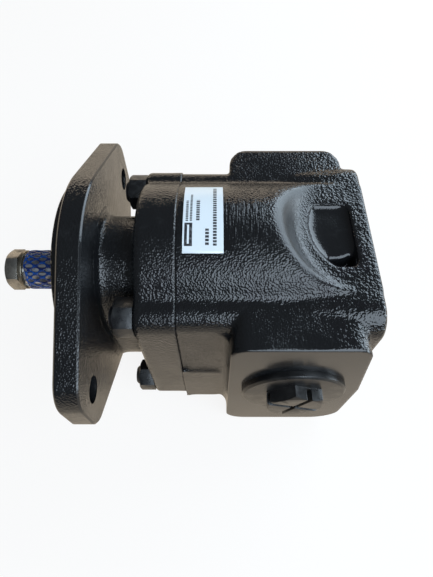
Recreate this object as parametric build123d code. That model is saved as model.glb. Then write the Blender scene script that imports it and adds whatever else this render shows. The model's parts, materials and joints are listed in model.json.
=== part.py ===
"""Two-gear external hydraulic pump with a two-bolt flange, as separate pieces.

Frame, in millimetres: the origin is on the shaft axis in the mounting face of the flange. +X runs from
that face to the rear of the pump, so the shaft points to -X. +Z is up, towards the label, and +Y is
towards the outlet port. The drive gear is on the X axis and the driven gear is below it.
"""

import os
from math import acos, cos, pi, radians, sin, sqrt, tan

from build123d import *

# Gears
MODULE = 3.6
TEETH = 13
PRESSURE_ANGLE = 25.0
FLANK_BACKLASH = 0.30
GEAR_WIDTH = 22.0
JOURNAL_D = 25.9
TIP_CLEARANCE = 0.30
SIDE_CLEARANCE = 0.10
JOURNAL_CHAMFER = 0.6
TOOTH_FOOT_SINK = 0.5

# Bearing blocks and bushes
FRONT_BLOCK_LENGTH = 22.8
REAR_BLOCK_LENGTH = 18.0
BLOCK_CLEARANCE = 0.05
BUSH_BORE = 26.0
BUSH_WALL = 2.0
BUSH_INSET = 1.2
JOURNAL_RECESS = 0.8
BLOCK_SEAL_GROOVE = 1.8
BLOCK_SEAL_INSET = 3.0
BLOCK_SEAL_WIDTH = 3.0

# Mounting flange
BOLT_SPACING = 146.05
BOLT_HOLE_D = 14.3
FLANGE_END_MARGIN = 14.975
FLANGE_THICKNESS = 12.0
FLANGE_MIDDLE_R = 58.0
FLANGE_LOBE_R = 30.0
FLANGE_LOBE_DROP = 43.0
FLANGE_END_R = 18.0
FLANGE_END_FLAT = 19.2
FLANGE_BEVEL = 0.8
PILOT_D = 101.6
PILOT_LENGTH = 5.0
PILOT_CHAMFER = 1.0

# Neck between the flange and the cap plate
NECK_LENGTH = 22.0
NECK_R = 31.5
NECK_FILLET = 5.0
NECK_EDGE_SPAN = 1.0

# Cap plate and casing section
CAP_THICKNESS = 21.0
CAP_BEVEL = 2.0
BARREL_R = 50.0
BARREL_BLEND_R = 7.0
SIDE_MARGIN = 1.6
CAP_STEP = 1.0
SHOULDER_DROP = 18.0
SHOULDER_FLAT = 0.43
UNDERSIDE_CUT = 4.8

# Body casting
BODY_LENGTH = 102.7
REAR_RIM_LENGTH = 10.7
REAR_FLARE_LENGTH = 35.0
REAR_STEP_OUT = 3.5
REAR_STEP_UP = 3.0
REAR_CORNER_R = 14.0
REAR_BEVEL = 1.6
SCOOP_FLOOR_R = 36.0
SCOOP_ARC_R = 12.0
SCOOP_WALL_ANGLE = 55.0
SCOOP_CENTRE_OVERHANG = 2.3
SCOOP_TOP_SPARE = 6.0

# Relief pocket in the rear top
POCKET_WIDTH = 40.0
POCKET_REAR_GAP = 10.2
POCKET_LENGTH = 23.0
POCKET_SHOULDER = 4.0
POCKET_LEAN = 12.0
POCKET_BOW_Y = 2.0
POCKET_RAMP = 10.0
POCKET_LIP = 2.0
POCKET_DEPTH = 11.0
POCKET_CORNER_R = 4.0
POCKET_DRAFT = 9.0

# Port bosses
PORT_SETBACK = 39.1
INLET_FACE_Y = 65.0
INLET_PAD_FRONT = 27.0
INLET_PAD_REAR_GAP = 0.6
INLET_PAD_TOP_GAP = 8.7
INLET_PAD_TOP_R = 8.5
INLET_PAD_SLANT_Z = -27.0
INLET_PAD_LOW_FRONT_R = 13.0
INLET_PAD_LOW_REAR_R = 18.0
INLET_PAD_FILLET = 8.0
OUTLET_FACE_Y = 65.5
OUTLET_BOSS_LENGTH = 66.0
OUTLET_BOSS_SETBACK = 2.5
OUTLET_BOSS_CORNER_R = 10.5
STUD_BOSS_PROUD = 1.5
STUD_BOSS_LENGTH = 25.6
STUD_BOSS_TOP_Z = -30.0
STUD_BOSS_CORNER_R = 7.0

# Ports and their plugs
INLET_PORT_D = 45.3
OUTLET_PORT_D = 31.0
PORT_DEPTH = 20.0
PORT_SEAT_DEPTH = 2.6
PORT_SEAT_WIDTH = 3.2
INLET_PASSAGE_D = 18.0
OUTLET_PASSAGE_D = 16.0
PASSAGE_SETBACK = 11.0
PASSAGE_OVERLAP = 4.0
PASSAGE_END_Y = 10.0
PLUG_CLEARANCE = 0.30
PLUG_SHANK_LENGTH = 14.0
PLUG_FLANGE_THICKNESS = 4.0
PLUG_RIM = 1.2
INLET_PLUG_D = 58.0
INLET_PLUG_HEX = 30.0
INLET_PLUG_HEX_HEIGHT = 7.1
OUTLET_PLUG_D = 42.0
OUTLET_PLUG_HEX = 22.0
OUTLET_PLUG_HEX_HEIGHT = 6.4
PLUG_SLOT_WIDTH = 3.2
PLUG_SLOT_FLOOR = 0.7
PLUG_TURN = -25.0
PLUG_WALL = 3.0

# Studs, nuts and dowels
STUD_D = 12.0
STUD_HOLE_D = 13.0
STUD_SIDE = 42.0
STUD_RISE = 21.0
STUD_PROTRUSION = 2.5
STUD_ENGAGEMENT = 22.0
STUD_TAP_SPARE = 5.0
NUT_ACROSS = 18.0
NUT_HEIGHT = 10.0
DOWEL_D = 8.0
DOWEL_LENGTH = 16.0
DOWEL_SIDE = 41.0
FASTENER_CHAMFER = 1.0
DOWEL_CHAMFER = 0.6
CROWN_ANGLE = 30.0

# Shaft end
SHAFT_EXTENSION = 36.6
SPLINE_TEETH = 13
SPLINE_D = 21.6
SPLINE_ROOT_D = 19.0
SPLINE_RELIEF_D = 18.2
SPLINE_RELIEF_LENGTH = 5.0
SPLINE_FOOT_SHARE = 0.31
SPLINE_TIP_SHARE = 0.17
SPLINE_FOOT_SINK = 0.2
SHAFT_CHAMFER = 1.0
SHAFT_BORE_D = 28.0
BOLT_D = 12.0
BOLT_LENGTH = 20.0
BOLT_HOLE_SPARE = 3.0
BOLT_HEX = 21.0
BOLT_HEAD_HEIGHT = 7.2
WASHER_D = 23.0
WASHER_THICKNESS = 2.6
WASHER_BEVEL = 0.6
THREAD_CLEARANCE = 0.10
NET_THICKNESS = 0.45
NET_CLEARANCE = 0.10
NET_END_GAP = 0.30

# Seals
LIP_SEAL_D = 42.0
LIP_SEAL_WIDTH = 8.0
LIP_SEAL_DEPTH = 8.0
LIP_SEAL_WALL = 2.2
LIP_CLEARANCE = 0.10
RETAINER_THICKNESS = 1.75
RETAINER_WIDTH = 3.2
RETAINER_GROOVE = 1.2
RETAINER_GAP_ANGLE = 36.0
RETAINER_EAR_ANGLE = 8.0
RETAINER_EAR_R = 2.4
RETAINER_EAR_HOLE_R = 0.9
RETAINER_EAR_TRIM = 0.5
SEAL_SEAT_GAP = 0.05
CASING_SEAL_OFFSET = 4.5
CASING_SEAL_WIDTH = 2.6
CASING_SEAL_DEPTH = 2.0
CASING_SEAL_SPARE = 0.4
O_RING_SECTION = 2.0
O_RING_PROUD = 0.6
O_RING_SIDE_GAP = 0.1
O_RING_FIT_GAP = 0.05
O_RING_BEVEL = 0.5

# Label
LABEL_FRONT_GAP = 3.6
LABEL_LENGTH = 20.1
LABEL_NEAR_Y = -20.0
LABEL_FAR_Y = 25.0
LABEL_THICKNESS = 0.15

# Worked out
CENTRE_DISTANCE = MODULE * TEETH
MID_Z = -CENTRE_DISTANCE / 2
TIP_R = MODULE * (TEETH / 2 + 1)
ROOT_R = MODULE * (TEETH / 2 - 1.25)
GEAR_BORE_R = TIP_R + TIP_CLEARANCE
BUSH_R = BUSH_BORE / 2 + BUSH_WALL
NECK_END_X = FLANGE_THICKNESS + NECK_LENGTH
FLANGE_LENGTH = BOLT_SPACING + 2 * FLANGE_END_MARGIN
SIDE_HALF_WIDTH = BARREL_R + SIDE_MARGIN
SHOULDER_Z = BARREL_R - SHOULDER_DROP
BLEND_Z = SHOULDER_Z + BARREL_BLEND_R
BLEND_Y = sqrt((BARREL_R + BARREL_BLEND_R) ** 2 - BLEND_Z**2)
SHOULDER_CORNER_R = SIDE_HALF_WIDTH - BLEND_Y - SHOULDER_FLAT
UNDERSIDE_Z = UNDERSIDE_CUT - CENTRE_DISTANCE - BARREL_R
REAR_HALF_WIDTH = SIDE_HALF_WIDTH + REAR_STEP_OUT
REAR_TOP_Z = SHOULDER_Z + REAR_STEP_UP
JOINT_X = NECK_END_X + CAP_THICKNESS
REAR_X = JOINT_X + BODY_LENGTH
FRONT_BLOCK_X = JOINT_X + SIDE_CLEARANCE
GEAR_X = FRONT_BLOCK_X + FRONT_BLOCK_LENGTH + SIDE_CLEARANCE
REAR_BLOCK_X = GEAR_X + GEAR_WIDTH + SIDE_CLEARANCE
CAVITY_END_X = REAR_BLOCK_X + REAR_BLOCK_LENGTH + SIDE_CLEARANCE
PORT_X = REAR_X - PORT_SETBACK
SEAL_FRONT_X = LIP_SEAL_DEPTH - PILOT_LENGTH
SEAL_BACK_X = SEAL_FRONT_X + LIP_SEAL_WIDTH
AXES = {"drive": 0.0, "driven": -CENTRE_DISTANCE}
STUD_PLACES = [(side * STUD_SIDE, z) for side in (1, -1) for z in (STUD_RISE, 2 * MID_Z - STUD_RISE)]


def across(x):
    """The plane across the shaft at a station: sketch x is +Y and sketch y is +Z."""
    return Plane.YZ.offset(x)


def facing_side(y):
    """The plane of a side face at a given Y, facing -Y: sketch x is +X and sketch y is +Z."""
    return Plane.XZ.offset(-y)


def disc(x, length, radius, y=0.0, z=0.0):
    """A cylinder along the shaft direction."""
    return extrude(across(x) * Pos(y, z) * Circle(radius), length)


def post(y, length, radius, x=0.0, z=0.0):
    """A cylinder along +Y."""
    return extrude(facing_side(y) * Pos(x, z) * Circle(radius), -length)


def racetrack(radius):
    """The outline round both gear axes, seen along the shaft."""
    straight = Rectangle(2 * radius, CENTRE_DISTANCE)
    return Pos(0, MID_Z) * straight + Circle(radius) + Pos(0, -CENTRE_DISTANCE) * Circle(radius)


def figure_eight(radius):
    """Two overlapping circles, one on each gear axis."""
    return Circle(radius) + Pos(0, -CENTRE_DISTANCE) * Circle(radius)


def edges_at(shape, axis, value, tolerance=0.01):
    """The edges that lie wholly in one plane square to an axis."""
    return shape.edges().filter_by_position(axis, value - tolerance, value + tolerance)


# --- gears ---------------------------------------------------------------------------------------


def tooth_half_angle(radius):
    """Half the angle that a tooth fills at a radius, for an involute flank thinned by the backlash."""
    pitch_r = MODULE * TEETH / 2
    base_r = pitch_r * cos(radians(PRESSURE_ANGLE))
    at_pitch = pi / (2 * TEETH) - FLANK_BACKLASH / (4 * pitch_r)
    if radius <= base_r:
        slope = 0.0
    else:
        slope = tan(acos(base_r / radius)) - acos(base_r / radius)
    involute_at_pitch = tan(radians(PRESSURE_ANGLE)) - radians(PRESSURE_ANGLE)
    return at_pitch + involute_at_pitch - slope


def polar(radius, angle):
    return (radius * cos(angle), radius * sin(angle))


def gear_blank(turn):
    """The toothed disc: a root circle carrying one tooth outline repeated round it."""
    base_r = MODULE * TEETH / 2 * cos(radians(PRESSURE_ANGLE))
    steps = [base_r + (TIP_R - base_r) * i / 4 for i in range(5)]
    rising = [polar(r, -tooth_half_angle(r)) for r in steps]
    falling = [polar(r, tooth_half_angle(r)) for r in reversed(steps)]
    foot_r = ROOT_R - TOOTH_FOOT_SINK
    foot = tooth_half_angle(base_r)
    outline = [
        Line(polar(foot_r, foot), polar(foot_r, -foot)),
        Line(polar(foot_r, -foot), rising[0]),
        Spline(*rising),
        ThreePointArc(rising[-1], (TIP_R, 0), falling[0]),
        Spline(*falling),
        Line(falling[-1], polar(foot_r, foot)),
    ]
    tooth = make_face(Wire(outline))
    blank = Circle(ROOT_R)
    for i in range(TEETH):
        blank += Rot(0, 0, turn + 360 / TEETH * i) * tooth
    return blank


def spline_section():
    """The splined end: straight-sided teeth on a root circle."""
    pitch = 2 * pi / SPLINE_TEETH
    root = SPLINE_FOOT_SHARE * pitch
    tip = SPLINE_TIP_SHARE * pitch
    r_root = SPLINE_ROOT_D / 2 - SPLINE_FOOT_SINK
    r_tip = SPLINE_D / 2
    outline = [
        Line(polar(r_root, root), polar(r_root, -root)),
        Line(polar(r_root, -root), polar(r_tip, -tip)),
        ThreePointArc(polar(r_tip, -tip), (r_tip, 0), polar(r_tip, tip)),
        Line(polar(r_tip, tip), polar(r_root, root)),
    ]
    tooth = make_face(Wire(outline))
    section = Circle(SPLINE_ROOT_D / 2)
    for i in range(SPLINE_TEETH):
        section += Rot(0, 0, 360 / SPLINE_TEETH * i) * tooth
    return section


def journal(start, end, z):
    """A bearing journal with a small lead chamfer on both ends."""
    bar = disc(start, end - start, JOURNAL_D / 2, z=z)
    ends = edges_at(bar, Axis.X, start) + edges_at(bar, Axis.X, end)
    return chamfer(ends, JOURNAL_CHAMFER)


def make_drive_shaft():
    rear_end = CAVITY_END_X - JOURNAL_RECESS
    relief = SPLINE_RELIEF_LENGTH
    shaft = journal(0, rear_end, 0)
    shaft += extrude(across(GEAR_X) * gear_blank(-90), GEAR_WIDTH)
    shaft += disc(-relief, relief, SPLINE_RELIEF_D / 2)
    splined = extrude(across(-SHAFT_EXTENSION) * spline_section(), SHAFT_EXTENSION - relief)
    lead = Cone(SPLINE_D / 2 - SHAFT_CHAMFER, SPLINE_D / 2 + SHAFT_EXTENSION, SHAFT_EXTENSION + SHAFT_CHAMFER)
    lead = Pos(-SHAFT_EXTENSION, 0, 0) * Rot(0, 90, 0) * Pos(0, 0, (SHAFT_EXTENSION + SHAFT_CHAMFER) / 2) * lead
    shaft += splined & lead
    hole = disc(-SHAFT_EXTENSION, BOLT_LENGTH + BOLT_HOLE_SPARE, BOLT_D / 2)
    return shaft - hole


def make_driven_gear():
    front_end = FRONT_BLOCK_X + JOURNAL_RECESS
    rear_end = CAVITY_END_X - JOURNAL_RECESS
    z = -CENTRE_DISTANCE
    shaft = journal(front_end, rear_end, z)
    gap_facing_drive = 90 + 180 / TEETH
    toothed = extrude(across(GEAR_X) * Pos(0, z) * gear_blank(gap_facing_drive), GEAR_WIDTH)
    return shaft + toothed


# --- bearing blocks, bushes and inner seals ------------------------------------------------------


def bearing_block(x, length, groove_x):
    """A figure-of-eight block with two bush bores and a seal groove in its outer face."""
    block = extrude(across(x) * figure_eight(GEAR_BORE_R - BLOCK_CLEARANCE), length)
    for z in AXES.values():
        block -= disc(x, length, BUSH_R, z=z)
    return block - block_seal(groove_x, BLOCK_SEAL_GROOVE)


def block_seal(x, depth):
    """The pressure seal: a ring that follows the block outline."""
    outer = GEAR_BORE_R - BLOCK_CLEARANCE - BLOCK_SEAL_INSET
    ring = figure_eight(outer) - figure_eight(outer - BLOCK_SEAL_WIDTH)
    return extrude(across(x) * ring, depth)


def make_front_block():
    return bearing_block(FRONT_BLOCK_X, FRONT_BLOCK_LENGTH, FRONT_BLOCK_X)


def make_rear_block():
    outer_face = REAR_BLOCK_X + REAR_BLOCK_LENGTH
    return bearing_block(REAR_BLOCK_X, REAR_BLOCK_LENGTH, outer_face - BLOCK_SEAL_GROOVE)


def make_bush(x, length, z):
    start = x + BUSH_INSET
    span = length - 2 * BUSH_INSET
    return disc(start, span, BUSH_R, z=z) - disc(start, span, BUSH_BORE / 2, z=z)


def casing_seal(width, depth):
    """The seal between cap and body, or with a greater width its groove."""
    middle = GEAR_BORE_R + CASING_SEAL_OFFSET
    ring = racetrack(middle + width / 2) - racetrack(middle - width / 2)
    return extrude(across(JOINT_X) * ring, depth)


# --- mounting cap --------------------------------------------------------------------------------


def flange_outline():
    """The flange: a round middle, two long ends and a lobe under the driven gear."""
    end_y = FLANGE_LENGTH / 2 - FLANGE_END_R
    end_z = FLANGE_END_FLAT / 2
    rounds = [Circle(FLANGE_MIDDLE_R), Pos(0, -FLANGE_LOBE_DROP) * Circle(FLANGE_LOBE_R)]
    for y in (end_y, -end_y):
        for z in (end_z, -end_z):
            rounds.append(Pos(y, z) * Circle(FLANGE_END_R))
    return make_hull([edge for circle in rounds for edge in circle.edges()])


def barrel_blend():
    """The hollow corner between the upper barrel and the shoulder on the +Y side."""
    share = BARREL_R / (BARREL_R + BARREL_BLEND_R)
    span = (2 * BLEND_Y * (1 - share), BLEND_Z * share - SHOULDER_Z)
    web = Pos(BLEND_Y - span[0] / 2, SHOULDER_Z + span[1] / 2) * Rectangle(*span)
    return web - Pos(BLEND_Y, BLEND_Z) * Circle(BARREL_BLEND_R)


def casing_section(step):
    """The outline of the body, and with a step out to the sides of the cap plate: a barrel over a block."""
    width = 2 * (SIDE_HALF_WIDTH + step)
    height = 2 * (SHOULDER_Z - MID_Z)
    block = Pos(0, MID_Z) * RectangleRounded(width, height, SHOULDER_CORNER_R)
    section = block + Circle(BARREL_R) + Pos(0, -CENTRE_DISTANCE) * Circle(BARREL_R)
    blend = barrel_blend()
    upper = [blend, mirror(blend, about=Plane.YZ)]
    lower = [mirror(web, about=Plane.XZ.offset(-MID_Z)) for web in upper]
    for web in upper + lower:
        section += web
    below = Pos(0, UNDERSIDE_Z - BARREL_R) * Rectangle(4 * BARREL_R, 2 * BARREL_R)
    return section - below


def make_mounting_cap():
    flange = extrude(across(0) * flange_outline(), FLANGE_THICKNESS)
    rims = edges_at(flange, Axis.X, 0) + edges_at(flange, Axis.X, FLANGE_THICKNESS)
    flange = chamfer(rims, FLANGE_BEVEL)
    plate = extrude(across(NECK_END_X) * casing_section(CAP_STEP), CAP_THICKNESS)
    plate = chamfer(edges_at(plate, Axis.X, NECK_END_X), CAP_BEVEL)
    neck = extrude(across(FLANGE_THICKNESS - FLANGE_BEVEL) * racetrack(NECK_R), NECK_LENGTH + CAP_BEVEL)
    pilot = disc(-PILOT_LENGTH, PILOT_LENGTH, PILOT_D / 2)
    pilot = chamfer(edges_at(pilot, Axis.X, -PILOT_LENGTH), PILOT_CHAMFER)
    cap = flange + plate + neck
    reach = NECK_R + NECK_EDGE_SPAN
    roots = edges_at(cap, Axis.X, NECK_END_X).filter_by_position(Axis.Y, -reach, reach)
    roots = roots.filter_by_position(Axis.Z, -CENTRE_DISTANCE - reach, reach)
    cap = fillet(roots, NECK_FILLET) + pilot
    for side in (1, -1):
        cap -= disc(0, FLANGE_THICKNESS, BOLT_HOLE_D / 2, y=side * BOLT_SPACING / 2)
        cap -= disc(JOINT_X - DOWEL_LENGTH / 2, DOWEL_LENGTH, DOWEL_D / 2, y=side * DOWEL_SIDE, z=MID_Z)
    for y, z in STUD_PLACES:
        cap -= disc(NECK_END_X, CAP_THICKNESS, STUD_HOLE_D / 2, y=y, z=z)
    cap -= disc(-PILOT_LENGTH, SEAL_BACK_X + PILOT_LENGTH, LIP_SEAL_D / 2)
    cap -= disc(SEAL_BACK_X, JOINT_X - SEAL_BACK_X, SHAFT_BORE_D / 2)
    groove_x = SEAL_FRONT_X - SEAL_SEAT_GAP - RETAINER_THICKNESS
    cap -= disc(groove_x, RETAINER_THICKNESS, LIP_SEAL_D / 2 + RETAINER_GROOVE)
    return cap


# --- pump body -----------------------------------------------------------------------------------


def rear_section():
    height = 2 * (REAR_TOP_Z - MID_Z)
    return Pos(0, MID_Z) * RectangleRounded(2 * REAR_HALF_WIDTH, height, REAR_CORNER_R)


def rear_flare():
    """The rear rim and the taper that runs into it from the square shoulders."""
    height = 2 * (SHOULDER_Z - MID_Z)
    rim_x = REAR_X - REAR_RIM_LENGTH
    start = Pos(0, MID_Z) * RectangleRounded(2 * SIDE_HALF_WIDTH, height, SHOULDER_CORNER_R)
    taper = loft([across(rim_x - REAR_FLARE_LENGTH) * start, across(rim_x) * rear_section()])
    rim = extrude(across(rim_x) * rear_section(), REAR_RIM_LENGTH)
    return taper + chamfer(edges_at(rim, Axis.X, REAR_X), REAR_BEVEL)


def scoop():
    """The round scoop that ends the barrel in front of the flat rear top."""
    wall = radians(SCOOP_WALL_ANGLE)
    top = BARREL_R + SCOOP_TOP_SPARE - REAR_TOP_Z
    arc_end = (SCOOP_FLOOR_R + SCOOP_ARC_R * sin(wall), SCOOP_ARC_R * (1 - cos(wall)))
    arc_middle = (
        SCOOP_FLOOR_R + SCOOP_ARC_R * sin(wall / 2),
        SCOOP_ARC_R * (1 - cos(wall / 2)),
    )
    rim_r = arc_end[0] + (top - arc_end[1]) / tan(wall)
    outline = [
        Line((0, 0), (SCOOP_FLOOR_R, 0)),
        ThreePointArc((SCOOP_FLOOR_R, 0), arc_middle, arc_end),
        Line(arc_end, (rim_r, top)),
        Line((rim_r, top), (0, top)),
        Line((0, top), (0, 0)),
    ]
    profile = Plane.XZ * make_face(Wire(outline))
    return Pos(REAR_X + SCOOP_CENTRE_OVERHANG, 0, REAR_TOP_Z) * revolve(profile, Axis.Z)


def pocket():
    """The D-shaped relief in the rear top, with a bowed side and a ramp to the front."""
    rear = REAR_X - POCKET_REAR_GAP
    front = rear - POCKET_LENGTH
    half = POCKET_WIDTH / 2
    shoulder = front + POCKET_SHOULDER
    low = front + POCKET_LEAN
    outline = [
        Line((rear, -half), (rear, half)),
        Line((rear, half), (shoulder, half)),
        ThreePointArc((shoulder, half), (front, POCKET_BOW_Y), (low, -half)),
        Line((low, -half), (rear, -half)),
    ]
    face = make_face(Wire(outline))
    corners = face.vertices().filter_by_position(Axis.X, rear - 0.01, rear + 0.01)
    face = fillet(corners, POCKET_CORNER_R)
    cut = extrude(Plane.XY.offset(REAR_TOP_Z) * face, -POCKET_DEPTH, taper=POCKET_DRAFT)
    floor_z = REAR_TOP_Z - POCKET_DEPTH
    lip = (front, REAR_TOP_Z - POCKET_LIP)
    ramp = Polyline(lip, (front + POCKET_RAMP, floor_z), (front, floor_z), close=True)
    return cut - extrude(facing_side(half) * make_face(ramp), POCKET_WIDTH)


def inlet_pad():
    """The wide pad of the inlet, whose upper rear edge leans to the front."""
    front = JOINT_X + INLET_PAD_FRONT
    rear = REAR_X - INLET_PAD_REAR_GAP
    outline = Polyline(
        (front, SHOULDER_Z),
        (rear - INLET_PAD_TOP_GAP, SHOULDER_Z),
        (rear, INLET_PAD_SLANT_Z),
        (rear, UNDERSIDE_Z),
        (front, UNDERSIDE_Z),
        close=True,
    )
    face = make_face(outline)
    low = face.vertices().filter_by_position(Axis.Y, UNDERSIDE_Z - 0.01, UNDERSIDE_Z + 0.01)
    face = fillet(low.sort_by(Axis.X)[0], INLET_PAD_LOW_FRONT_R)
    low = face.vertices().filter_by_position(Axis.Y, UNDERSIDE_Z - 0.01, UNDERSIDE_Z + 0.01)
    face = fillet(low.sort_by(Axis.X)[-1], INLET_PAD_LOW_REAR_R)
    high = face.vertices().filter_by_position(Axis.Y, SHOULDER_Z - 0.01, SHOULDER_Z + 0.01)
    face = fillet(high, INLET_PAD_TOP_R)
    return extrude(facing_side(-SIDE_HALF_WIDTH / 2) * face, INLET_FACE_Y - SIDE_HALF_WIDTH / 2)


def inlet_root():
    """The hollow-cornered web that blends the front wall of the inlet pad into the side."""
    x = JOINT_X + INLET_PAD_FRONT
    y = -SIDE_HALF_WIDTH
    r = INLET_PAD_FILLET
    web = Pos(x - r / 2, y - r / 2) * Rectangle(r, r) - Pos(x - r, y - r) * Circle(r)
    top = SHOULDER_Z - SHOULDER_CORNER_R
    bottom = UNDERSIDE_Z + INLET_PAD_LOW_FRONT_R
    return extrude(Plane.XY.offset(bottom) * web, top - bottom)


def outlet_boss():
    """The loaf-shaped boss of the outlet, rounded where its end meets its sides."""
    height = 2 * (SHOULDER_Z - MID_Z)
    depth = 2 * (OUTLET_FACE_Y - SIDE_HALF_WIDTH / 2)
    plan = Pos(PORT_X - OUTLET_BOSS_SETBACK, OUTLET_FACE_Y - depth / 2)
    plan *= RectangleRounded(OUTLET_BOSS_LENGTH, depth, OUTLET_BOSS_CORNER_R)
    return extrude(Plane.XY.offset(SHOULDER_Z - height) * plan, height)


def stud_bosses():
    """The raised lands on both sides beside the lower studs."""
    height = STUD_BOSS_TOP_Z - (2 * MID_Z - SHOULDER_Z)
    centre = (JOINT_X, STUD_BOSS_TOP_Z - height / 2)
    land = Pos(*centre) * RectangleRounded(2 * STUD_BOSS_LENGTH, height, STUD_BOSS_CORNER_R)
    reach = SIDE_HALF_WIDTH + STUD_BOSS_PROUD
    both = extrude(facing_side(reach) * land, 2 * reach)
    return both & disc(JOINT_X, BODY_LENGTH, 2 * BARREL_R)


def port(face_y, diameter):
    """A threaded port cut from a side face, with the conical seat of its O-ring."""
    side = 1 if face_y > 0 else -1
    inner_y = face_y - side * PORT_DEPTH
    bore = post(min(face_y, inner_y), PORT_DEPTH, diameter / 2, PORT_X, MID_Z)
    seat = Cone(diameter / 2 + PORT_SEAT_WIDTH, diameter / 2, PORT_SEAT_DEPTH)
    seat = Pos(PORT_X, face_y, MID_Z) * Rot(90 * side, 0, 0) * Pos(0, 0, PORT_SEAT_DEPTH / 2) * seat
    return bore + seat


def passage(face_y, diameter):
    """The slanted drilling from a port to the mesh of the gears."""
    side = 1 if face_y > 0 else -1
    start = Vector(PORT_X - PASSAGE_SETBACK, face_y - side * (PORT_DEPTH - PASSAGE_OVERLAP), MID_Z)
    end = Vector(GEAR_X + GEAR_WIDTH / 2, side * PASSAGE_END_Y, MID_Z)
    plane = Plane(origin=start, z_dir=end - start)
    return extrude(plane * Circle(diameter / 2), (end - start).length)


def make_pump_body():
    casing = extrude(across(JOINT_X) * casing_section(0), BODY_LENGTH)
    casing = chamfer(edges_at(casing, Axis.X, REAR_X), REAR_BEVEL)
    casing += rear_flare()
    casing -= scoop()
    casing -= pocket()
    casing += inlet_pad()
    casing += inlet_root()
    casing += outlet_boss()
    casing += stud_bosses()
    casing -= extrude(across(JOINT_X) * figure_eight(GEAR_BORE_R), CAVITY_END_X - JOINT_X)
    casing -= casing_seal(CASING_SEAL_WIDTH + CASING_SEAL_SPARE, CASING_SEAL_DEPTH + SEAL_SEAT_GAP)
    for face_y, port_d, passage_d in (
        (-INLET_FACE_Y, INLET_PORT_D, INLET_PASSAGE_D),
        (OUTLET_FACE_Y, OUTLET_PORT_D, OUTLET_PASSAGE_D),
    ):
        casing -= port(face_y, port_d)
        casing -= passage(face_y, passage_d)
    for y, z in STUD_PLACES:
        casing -= disc(JOINT_X, STUD_ENGAGEMENT + STUD_TAP_SPARE, STUD_D / 2, y=y, z=z)
    for side in (1, -1):
        casing -= disc(JOINT_X, DOWEL_LENGTH / 2, DOWEL_D / 2, y=side * DOWEL_SIDE, z=MID_Z)
    return casing


# --- fasteners -----------------------------------------------------------------------------------


def make_stud(y, z):
    start = NECK_END_X - NUT_HEIGHT - STUD_PROTRUSION
    end = JOINT_X + STUD_ENGAGEMENT
    bar = disc(start, end - start, STUD_D / 2, y=y, z=z)
    return chamfer(edges_at(bar, Axis.X, start) + edges_at(bar, Axis.X, end), FASTENER_CHAMFER)


def hex_prism(across_flats, height):
    """A hexagon standing on the XY plane with its top corners rounded down as on a nut or bolt head."""
    corner_r = across_flats / sqrt(3)
    prism = extrude(RegularPolygon(corner_r, 6), height)
    fall = tan(radians(CROWN_ANGLE))
    drop = (corner_r - across_flats / 2) * fall
    turned = Polyline(
        (0, 0),
        (corner_r + 1, 0),
        (corner_r + 1, height - drop - fall),
        (across_flats / 2, height),
        (0, height),
        close=True,
    )
    return prism & revolve(Plane.XZ * make_face(turned), Axis.Z)


def make_nut(y, z):
    body = Pos(NECK_END_X, y, z) * Rot(0, -90, 0) * hex_prism(NUT_ACROSS, NUT_HEIGHT)
    return body - disc(NECK_END_X - NUT_HEIGHT, NUT_HEIGHT, STUD_D / 2, y=y, z=z)


def make_dowel(side):
    start = JOINT_X - DOWEL_LENGTH / 2
    pin = disc(start, DOWEL_LENGTH, DOWEL_D / 2, y=side * DOWEL_SIDE, z=MID_Z)
    ends = edges_at(pin, Axis.X, start) + edges_at(pin, Axis.X, start + DOWEL_LENGTH)
    return chamfer(ends, DOWEL_CHAMFER)


# --- shaft end -----------------------------------------------------------------------------------


def make_end_bolt():
    head_x = -SHAFT_EXTENSION - WASHER_THICKNESS
    head = Pos(head_x, 0, 0) * Rot(0, -90, 0) * hex_prism(BOLT_HEX, BOLT_HEAD_HEIGHT)
    shank_r = BOLT_D / 2 - THREAD_CLEARANCE
    shank = disc(head_x, WASHER_THICKNESS + BOLT_LENGTH, shank_r)
    return head + chamfer(edges_at(shank, Axis.X, BOLT_LENGTH - SHAFT_EXTENSION), FASTENER_CHAMFER)


def make_end_washer():
    x = -SHAFT_EXTENSION - WASHER_THICKNESS
    ring = disc(x, WASHER_THICKNESS, WASHER_D / 2) - disc(x, WASHER_THICKNESS, BOLT_D / 2)
    return chamfer(edges_at(ring, Axis.X, x).sort_by(SortBy.LENGTH)[-1], WASHER_BEVEL)


def make_shaft_net():
    start = -SHAFT_EXTENSION + NET_END_GAP
    length = SHAFT_EXTENSION - PILOT_LENGTH - 2 * NET_END_GAP
    inner = SPLINE_D / 2 + NET_CLEARANCE
    return disc(start, length, inner + NET_THICKNESS) - disc(start, length, inner)


# --- seals and label -----------------------------------------------------------------------------


def make_casing_seal():
    return casing_seal(CASING_SEAL_WIDTH, CASING_SEAL_DEPTH)


def make_lip_seal():
    """A radial shaft seal: an outer case, a web and a lip that reaches in to the shaft."""
    x = SEAL_FRONT_X
    wall = LIP_SEAL_WALL
    outer = LIP_SEAL_D / 2
    lip_r = JOURNAL_D / 2 + LIP_CLEARANCE
    outline = Polyline(
        (x, outer),
        (x + LIP_SEAL_WIDTH, outer),
        (x + LIP_SEAL_WIDTH, outer - wall),
        (x + wall, outer - wall),
        (x + wall, lip_r + 2 * wall),
        (x + LIP_SEAL_WIDTH - wall / 2, lip_r + wall),
        (x + LIP_SEAL_WIDTH - wall / 2, lip_r),
        (x + LIP_SEAL_WIDTH - 2 * wall, lip_r),
        (x, lip_r + wall),
        close=True,
    )
    return revolve(Plane.XY * make_face(outline), Axis.X)


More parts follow.
